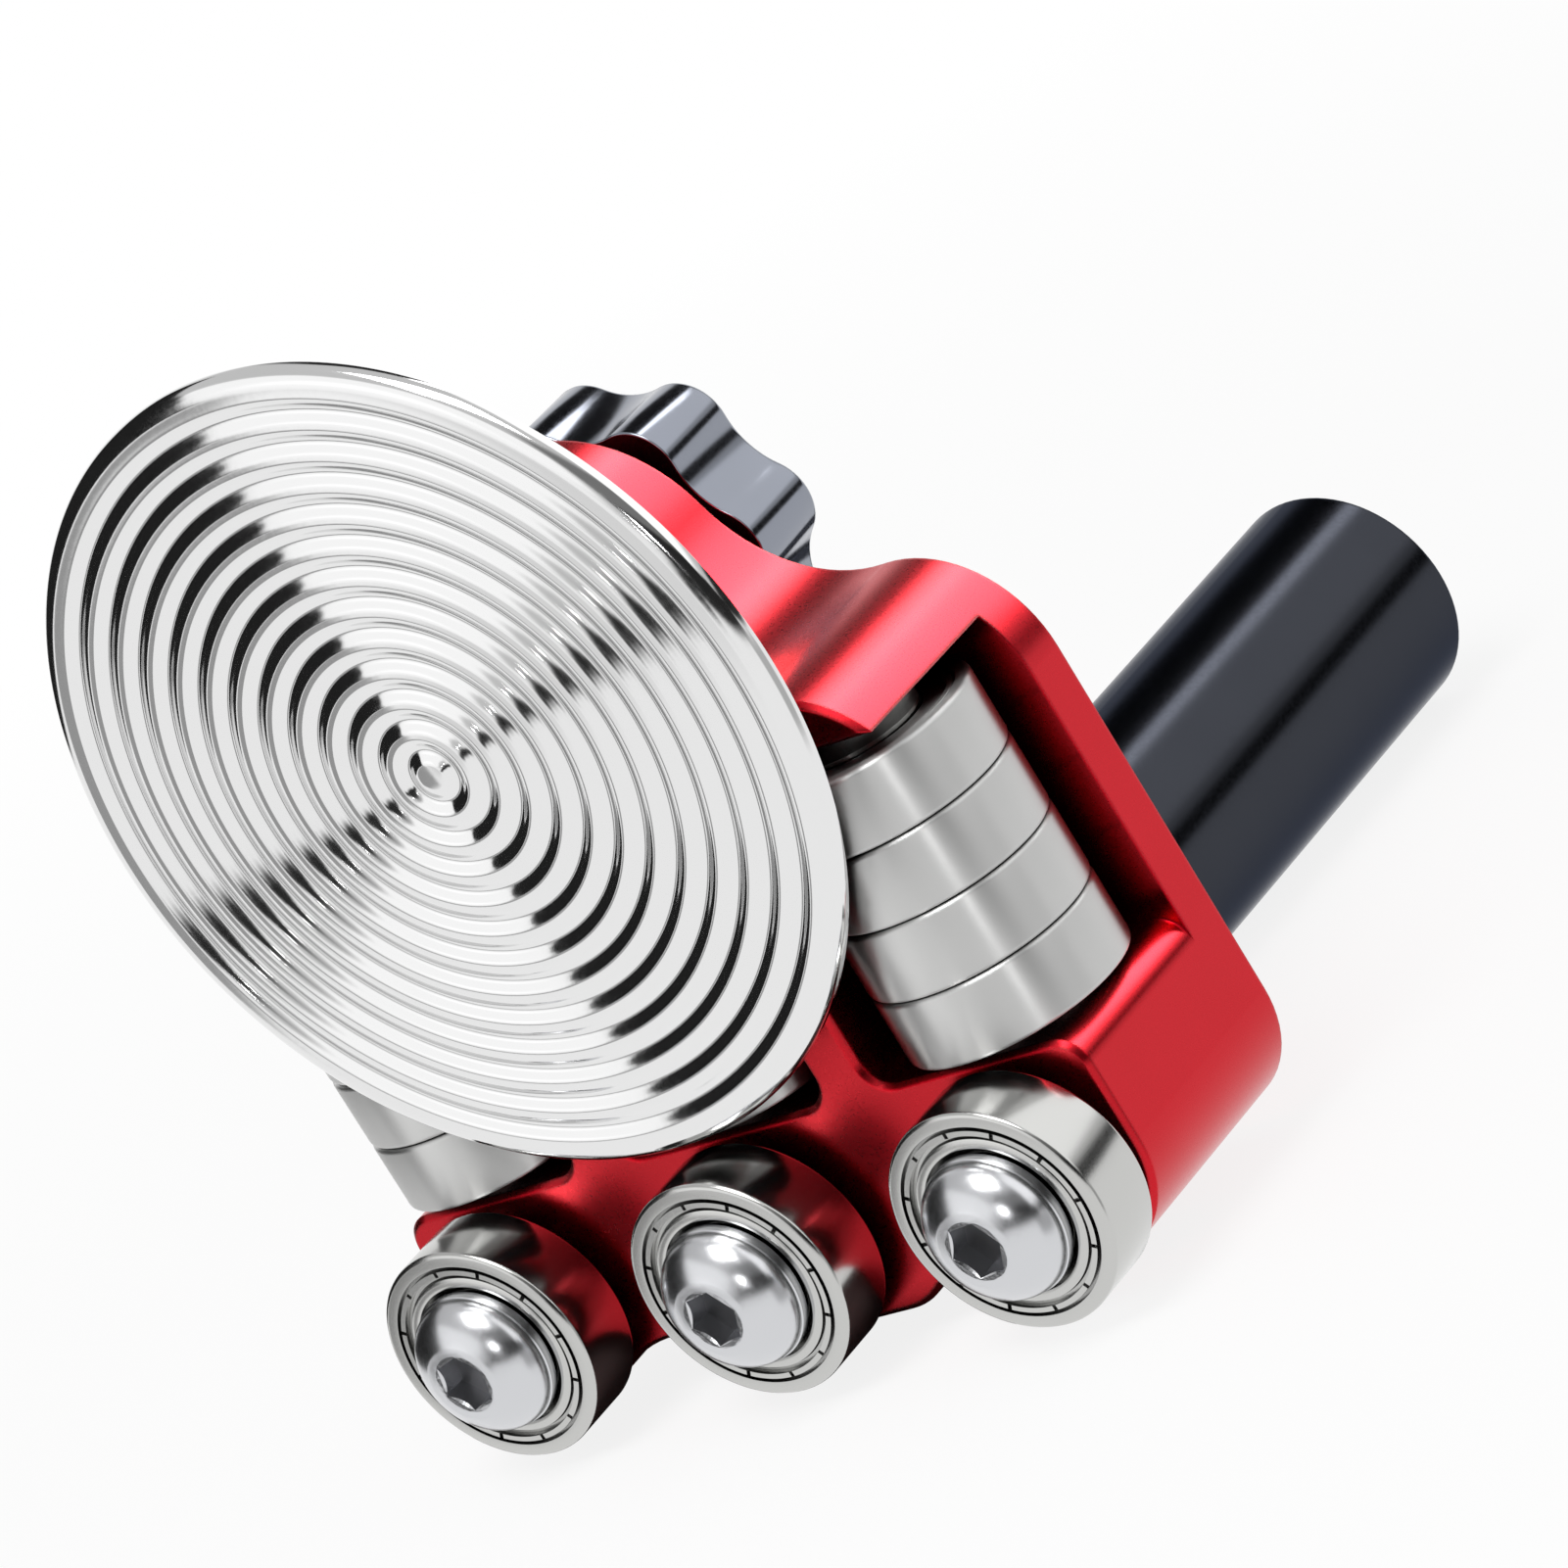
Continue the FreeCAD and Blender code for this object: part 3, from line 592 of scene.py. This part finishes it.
# The camera sees nearly plain white, with a soft shadow that fades out before the table's edge
place = add(tree, "TexCoord").outputs["Object"]
from_middle = add(tree, "VectorMath", {"operation": "LENGTH"}, {0: place})
fade = add(tree, "MapRange", {},
           {"Value": from_middle.outputs["Value"], "From Min": FADE_FROM * TABLE_R,
            "From Max": FADE_TO * TABLE_R, "To Min": PLAIN_WHITE, "To Max": 1.0})
rays = add(tree, "LightPath")
whitened = add(tree, "Math", {"operation": "MULTIPLY"},
               {0: fade.outputs["Result"], 1: rays.outputs["Is Camera Ray"]})
glow = add(tree, "Emission", {}, {"Color": WHITE, "Strength": 1.0})
shown = add(tree, "MixShader", {},
            {0: whitened.outputs[0], 1: laminate.outputs[0], 2: glow.outputs[0]})
tree.links.new(shown.outputs[0], tree.nodes["Material Output"].inputs["Surface"])
table.data.materials.append(table_top)

# Only shine sees this dark patch, the shade at the left and the middle front bearing
SHADE_AT = (-0.014, -0.043)
SHADE_SIZE = (0.072, 0.026)
SHADE_RAISED = 0.0002
bpy.ops.mesh.primitive_plane_add(size=1, location=(*SHADE_AT, cad_low.z + SHADE_RAISED))
shade = bpy.context.object
shade.name = "shade_under_tool"
shade.scale = (*SHADE_SIZE, 1)
shade.visible_camera = shade.visible_diffuse = shade.visible_shadow = False
shade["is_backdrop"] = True
dark_table = bpy.data.materials.new("laminate_in_shade")
dark_table.use_nodes = True
dull = dark_table.node_tree.nodes["Principled BSDF"]
dull.inputs["Base Color"].default_value = colour("#4A3A3A")
dull.inputs["Roughness"].default_value = 1.0
shade.data.materials.append(dark_table)

world = bpy.data.worlds.new("studio")
bpy.context.scene.world = world
world.use_nodes = True
tree = world.node_tree
tree.nodes.clear()
way = add(tree, "TexCoord").outputs["Generated"]


def sky(east, up):
    """Direction so many degrees right of the way the disc looks, and so many above the table."""
    a, e = math.radians(east), math.radians(up)
    return Vector((math.sin(a) * math.cos(e), -math.cos(a) * math.cos(e), math.sin(e)))


def card(corners, soft):
    """1 inside a card hung in the sky, 0 outside. Its corners go round against the clock."""
    inside = 1.0
    for one, two in zip(corners, corners[1:] + corners[:1]):
        edge = sky(*one).cross(sky(*two)).normalized()
        side = add(tree, "VectorMath", {"operation": "DOT_PRODUCT"}, {0: way, 1: edge})
        part = add(tree, "MapRange", {"interpolation_type": "SMOOTHSTEP"},
                   {"Value": side.outputs["Value"], "From Min": -soft, "From Max": soft})
        inside = add(tree, "Math", {"operation": "MULTIPLY"},
                     {0: inside, 1: part.outputs["Result"]}).outputs[0]
    return inside


def grey(level):
    return (level, level, level, 1.0)


# Corners of the cards, in degrees to the right and above the table
softbox = [(-62, -5), (-30, -6), (-5, 4), (8, 20), (-6, 35), (-66, 38)]
softbox_middle = [(-40, 6), (-20, 6), (-20, 18), (-40, 18)]
black_flag = [(-125, -8), (-100, -8), (-44.3, -2.5), (-47, 11), (-53, 25), (-64, 36),
              (-120, 42)]
flag_foot = [(-62, -17), (-44.2, -17), (-43.9, -3), (-48, -4), (-62, -9)]
box_foot = [(-42, -14.5), (-30, -13.5), (-30, -7), (-42.5, -6)]
gap_under_box = [(-26, -11), (-4, -9.5), (14, -2), (17, 5)]
dim_right = [(8, 8), (82, 8), (82, 36), (14, 36)]
dark_right = [(3, -6), (82, -6), (82, 14), (12, 14)]
dim_low_right = [(60, -30), (108, -30), (108, -6), (60, -6)]
behind_right = [(75, 9), (172, 9), (172, 55), (75, 55)]
strip_behind = [(168, 36), (180, 36), (180, 60), (168, 60)]
behind_left = [(-180, 26), (-140, 26), (-140, 60), (-180, 60)]
low_behind_left = [(-180, -4), (-110, -4), (-110, 22), (-180, 22)]
gap_behind = [(60, -6), (120, -6), (180, -6), (180, 8), (120, 8), (60, 8)]
TABLE_LEVEL, WALL_LEVEL, FILL_LEVEL = 1.0, 0.64, 0.55
TABLE_EDGE = (-0.05, 0.03)              # heights between which the table passes into the wall
height = add(tree, "SeparateXYZ", {}, {0: way}).outputs["Z"]
mirrored = add(tree, "MapRange", {},
               {"Value": height, "From Min": TABLE_EDGE[0], "From Max": TABLE_EDGE[1],
                "To Min": TABLE_LEVEL, "To Max": WALL_LEVEL}).outputs["Result"]
# Each card lies over those before it, with a soft edge and a level at which 1 is white
for corners, soft, level in [
    (box_foot, 0.03, 0.8),
    (softbox, 0.06, 1.15),
    (softbox_middle, 0.12, 1.35),
    (flag_foot, 0.015, 0.35),
    (black_flag, 0.015, 0.015),
    (gap_under_box, 0.025, 0.04),
    (dim_low_right, 0.1, 0.5),
    (dim_right, 0.1, 0.2),
    (dark_right, 0.05, 0.02),
    (behind_right, 0.05, 1.3),
    (behind_left, 0.06, 0.02),
    (low_behind_left, 0.05, 1.0),
    (strip_behind, 0.03, 4.5),
    (gap_behind, 0.03, 0.02),
]:
    mirrored = add(tree, "Mix", {"data_type": "RGBA"},
                   {0: card(corners, soft), 6: mirrored, 7: grey(level)}).outputs[2]
rays = add(tree, "LightPath")
cards = add(tree, "Background", {}, {"Color": mirrored, "Strength": 1.0})
fill = add(tree, "Background", {}, {"Color": WHITE, "Strength": FILL_LEVEL})
white = add(tree, "Background", {}, {"Color": WHITE, "Strength": 1.0})
lit = add(tree, "MixShader", {},
          {0: rays.outputs["Is Glossy Ray"], 1: fill.outputs[0], 2: cards.outputs[0]})
shown = add(tree, "MixShader", {},
            {0: rays.outputs["Is Camera Ray"], 1: lit.outputs[0], 2: white.outputs[0]})
add(tree, "OutputWorld", {}, {"Surface": shown.outputs[0]})


def lamp(name, place, target, size, watts, only=()):
    """A square lamp, so many metres wide. It can be kept for the shine of a few pieces."""
    bpy.ops.object.light_add(type="AREA", location=place)
    made = bpy.context.object
    made.name = name
    made.data.size = size
    made.data.energy = watts
    made.visible_camera = False
    if only:
        made.data.diffuse_factor = 0.0
        made.light_linking.receiver_collection = bpy.data.collections.new(name + "_reach")
        for piece in only:
            made.light_linking.receiver_collection.objects.link(piece)
    made.rotation_euler = (Vector(place) - Vector(target)).to_track_quat("Z", "Y").to_euler()


LAMP_ABOVE = (0.15, -0.45, 0.9)
LAMP_FAR = 0.7
middle = (cad_low + cad_high) / 2
pieces = bpy.data.objects
lamp("lamp_above", LAMP_ABOVE, middle, size=0.5, watts=5.0)
lamp("lamp_behind", middle + sky(159, 38) * LAMP_FAR, middle, size=0.55, watts=5.5,
     only=[frame["nodes"]["body_block"]])
lamp("lamp_on_screws", middle + sky(19.5, 10) * LAMP_FAR, middle, size=0.05, watts=0.35,
     only=[disc] + [pieces[side + "_front_screw"] for side in sides])
lamp("lamp_on_disc", middle + sky(3, 4) * LAMP_FAR, middle, size=0.012, watts=0.013,
     only=[disc])
lamp("lamp_on_rollers", middle + sky(47, 0) * LAMP_FAR, middle, size=0.012, watts=0.2,
     only=[pieces[node + "_bearing"] for node in rollers])

# The camera looks from the right and a little from above, rolled so that the tool lies aslant
VIEW_FROM_RIGHT = 43.736
VIEW_FROM_ABOVE = 15.272
VIEW_ROLL = 31.673
VIEW_DISTANCE = 0.8
LOOK_AT = (-0.015895, -0.002270, 0.035880)
SENSOR_MM = 36.0
LENS_MM = 199.54
NEAREST = 0.01
seen_from = sky(VIEW_FROM_RIGHT, VIEW_FROM_ABOVE)
bpy.ops.object.camera_add()
camera = bpy.context.object
roll = Matrix.Rotation(math.radians(-VIEW_ROLL), 4, "Z")
camera.matrix_world = (Matrix.Translation(Vector(LOOK_AT) + seen_from * VIEW_DISTANCE)
                       @ seen_from.to_track_quat("Z", "Y").to_matrix().to_4x4() @ roll)
camera.data.sensor_width = SENSOR_MM
camera.data.lens = LENS_MM
camera.data.clip_start = NEAREST
bpy.context.scene.camera = camera
bpy.context.scene.view_settings.view_transform = "Standard"

low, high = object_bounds()
